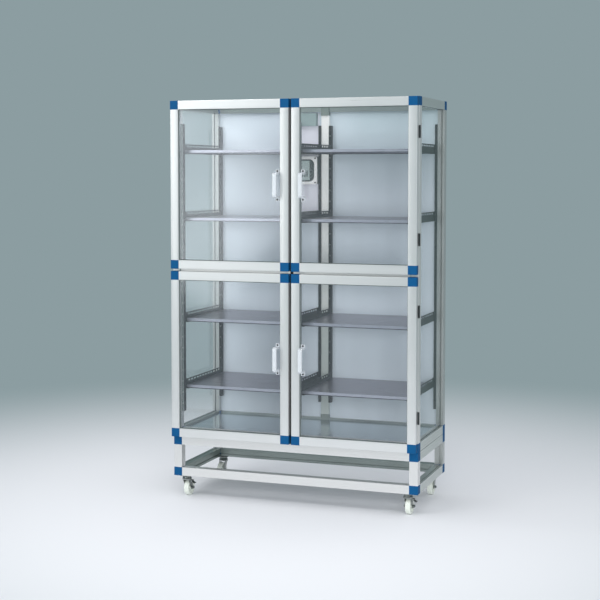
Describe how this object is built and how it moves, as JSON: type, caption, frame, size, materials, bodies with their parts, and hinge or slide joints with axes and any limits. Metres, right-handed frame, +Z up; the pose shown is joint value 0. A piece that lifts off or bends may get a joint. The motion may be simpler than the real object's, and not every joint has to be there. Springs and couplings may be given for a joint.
{
  "type": "desiccator cabinet",
  "caption": "Tall floor-standing desiccator cabinet on castors with clear hinged doors, an aluminium frame with moulded corner blocks, slotted-standard shelves and a dryer unit.",
  "frame": {"origin": "on the floor, under the middle of the bounding box", "axes": "+X to the right of someone who faces the doors, +Y from the doors to the back, +Z up"},
  "size_m": [1.2126, 0.579, 1.884],
  "materials": {
    "section": "satin anodised extrusion",
    "joint_block": "moulded nylon, slight sheen",
    "tee_block": "cast, grey",
    "back_sheet": "opaque satin silver-grey sheet",
    "door_glazing": "clear sheet",
    "frame_glazing": "clear sheet",
    "seal": "matt",
    "handle": "moulded",
    "hinge": "brushed",
    "floor_sheet": "polished",
    "standard": "bright sheet",
    "bracket": "bright sheet",
    "shelf": "bright sheet",
    "dryer_plate": "satin",
    "dryer_case": "moulded",
    "dryer_core": "moulded",
    "dryer_bezel": "moulded",
    "control_box": "satin",
    "castor_steel": "zinc plated",
    "castor_wheel": "moulded nylon",
    "brake_lever": "satin"
  },
  "bodies": {
    "cabinet": {"corner_posts": "section", "centre_posts": "section", "frame_rails": "section", "frame_joint_blocks": "joint_block", "centre_tee_blocks": "tee_block", "side_panels": "frame_glazing", "back_panels": "back_sheet", "top_panel": "frame_glazing", "floor_panel": "floor_sheet", "centre_seal": "seal", "shelf_standards": "standard", "shelf_brackets": "bracket", "shelf_1": "shelf", "shelf_2": "shelf", "shelf_3": "shelf", "shelf_4": "shelf", "dryer_mounting_plate": "dryer_plate", "dryer_case": "dryer_case", "dryer_core": "dryer_core", "dryer_bezel": "dryer_bezel", "dryer_control_box": "control_box", "frame_hinge_leaves": "hinge", "base_posts": "section", "base_rails": "section", "base_corner_blocks": "joint_block", "castor_plates": "castor_steel"},
    "door_upper_left": {"door_frame_upper_left": "section", "door_corners_upper_left": "joint_block", "door_panel_upper_left": "door_glazing", "door_seal_upper_left": "seal", "door_handle_upper_left": "handle", "door_hinges_upper_left": "hinge"},
    "door_upper_right": {"door_frame_upper_right": "section", "door_corners_upper_right": "joint_block", "door_panel_upper_right": "door_glazing", "door_seal_upper_right": "seal", "door_handle_upper_right": "handle", "door_hinges_upper_right": "hinge"},
    "door_lower_left": {"door_frame_lower_left": "section", "door_corners_lower_left": "joint_block", "door_panel_lower_left": "door_glazing", "door_seal_lower_left": "seal", "door_handle_lower_left": "handle", "door_hinges_lower_left": "hinge"},
    "door_lower_right": {"door_frame_lower_right": "section", "door_corners_lower_right": "joint_block", "door_panel_lower_right": "door_glazing", "door_seal_lower_right": "seal", "door_handle_lower_right": "handle", "door_hinges_lower_right": "hinge"},
    "castor_front_left": {"castor_fork_front_left": "castor_steel"},
    "wheel_front_left": {"castor_wheel_front_left": "castor_wheel"},
    "castor_front_right": {"castor_fork_front_right": "castor_steel"},
    "wheel_front_right": {"castor_wheel_front_right": "castor_wheel"},
    "castor_rear_left": {"castor_fork_rear_left": "castor_steel"},
    "wheel_rear_left": {"castor_wheel_rear_left": "castor_wheel"},
    "castor_rear_right": {"castor_fork_rear_right": "castor_steel"},
    "wheel_rear_right": {"castor_wheel_rear_right": "castor_wheel"},
    "brake_left": {"brake_lever_left": "brake_lever"},
    "brake_right": {"brake_lever_right": "brake_lever"}
  },
  "joints": [
    {"name": "door_hinge_upper_left", "type": "hinge", "parent": "cabinet", "child": "door_upper_left", "pos_m": [-0.6028, -0.223, 1.488], "axis": [0, 0, -1], "range_deg": [0, 135]},
    {"name": "door_hinge_upper_right", "type": "hinge", "parent": "cabinet", "child": "door_upper_right", "pos_m": [0.6028, -0.223, 1.488], "axis": [0, 0, 1], "range_deg": [0, 135]},
    {"name": "door_hinge_lower_left", "type": "hinge", "parent": "cabinet", "child": "door_lower_left", "pos_m": [-0.6028, -0.223, 0.689], "axis": [0, 0, -1], "range_deg": [0, 135]},
    {"name": "door_hinge_lower_right", "type": "hinge", "parent": "cabinet", "child": "door_lower_right", "pos_m": [0.6028, -0.223, 0.689], "axis": [0, 0, 1], "range_deg": [0, 135]},
    {"name": "castor_swivel_front_left", "type": "hinge", "parent": "cabinet", "child": "castor_front_left", "pos_m": [-0.547, -0.1885, 0.085], "axis": [0, 0, 1], "continuous": true},
    {"name": "wheel_spin_front_left", "type": "hinge", "parent": "castor_front_left", "child": "wheel_front_left", "pos_m": [-0.547, -0.1645, 0.0375], "axis": [1, 0, 0], "continuous": true},
    {"name": "castor_swivel_front_right", "type": "hinge", "parent": "cabinet", "child": "castor_front_right", "pos_m": [0.547, -0.1885, 0.085], "axis": [0, 0, 1], "continuous": true},
    {"name": "wheel_spin_front_right", "type": "hinge", "parent": "castor_front_right", "child": "wheel_front_right", "pos_m": [0.547, -0.1645, 0.0375], "axis": [1, 0, 0], "continuous": true},
    {"name": "castor_swivel_rear_left", "type": "hinge", "parent": "cabinet", "child": "castor_rear_left", "pos_m": [-0.547, 0.2575, 0.085], "axis": [0, 0, 1], "continuous": true},
    {"name": "wheel_spin_rear_left", "type": "hinge", "parent": "castor_rear_left", "child": "wheel_rear_left", "pos_m": [-0.547, 0.2335, 0.0375], "axis": [1, 0, 0], "continuous": true},
    {"name": "castor_swivel_rear_right", "type": "hinge", "parent": "cabinet", "child": "castor_rear_right", "pos_m": [0.547, 0.2575, 0.085], "axis": [0, 0, 1], "continuous": true},
    {"name": "wheel_spin_rear_right", "type": "hinge", "parent": "castor_rear_right", "child": "wheel_rear_right", "pos_m": [0.547, 0.2335, 0.0375], "axis": [1, 0, 0], "continuous": true},
    {"name": "brake_pivot_left", "type": "hinge", "parent": "castor_front_left", "child": "brake_left", "pos_m": [-0.526, -0.1765, 0.071], "axis": [0, -1, 0], "range_deg": [0, 12]},
    {"name": "brake_pivot_right", "type": "hinge", "parent": "castor_front_right", "child": "brake_right", "pos_m": [0.568, -0.1765, 0.071], "axis": [0, -1, 0], "range_deg": [0, 12]}
  ]
}
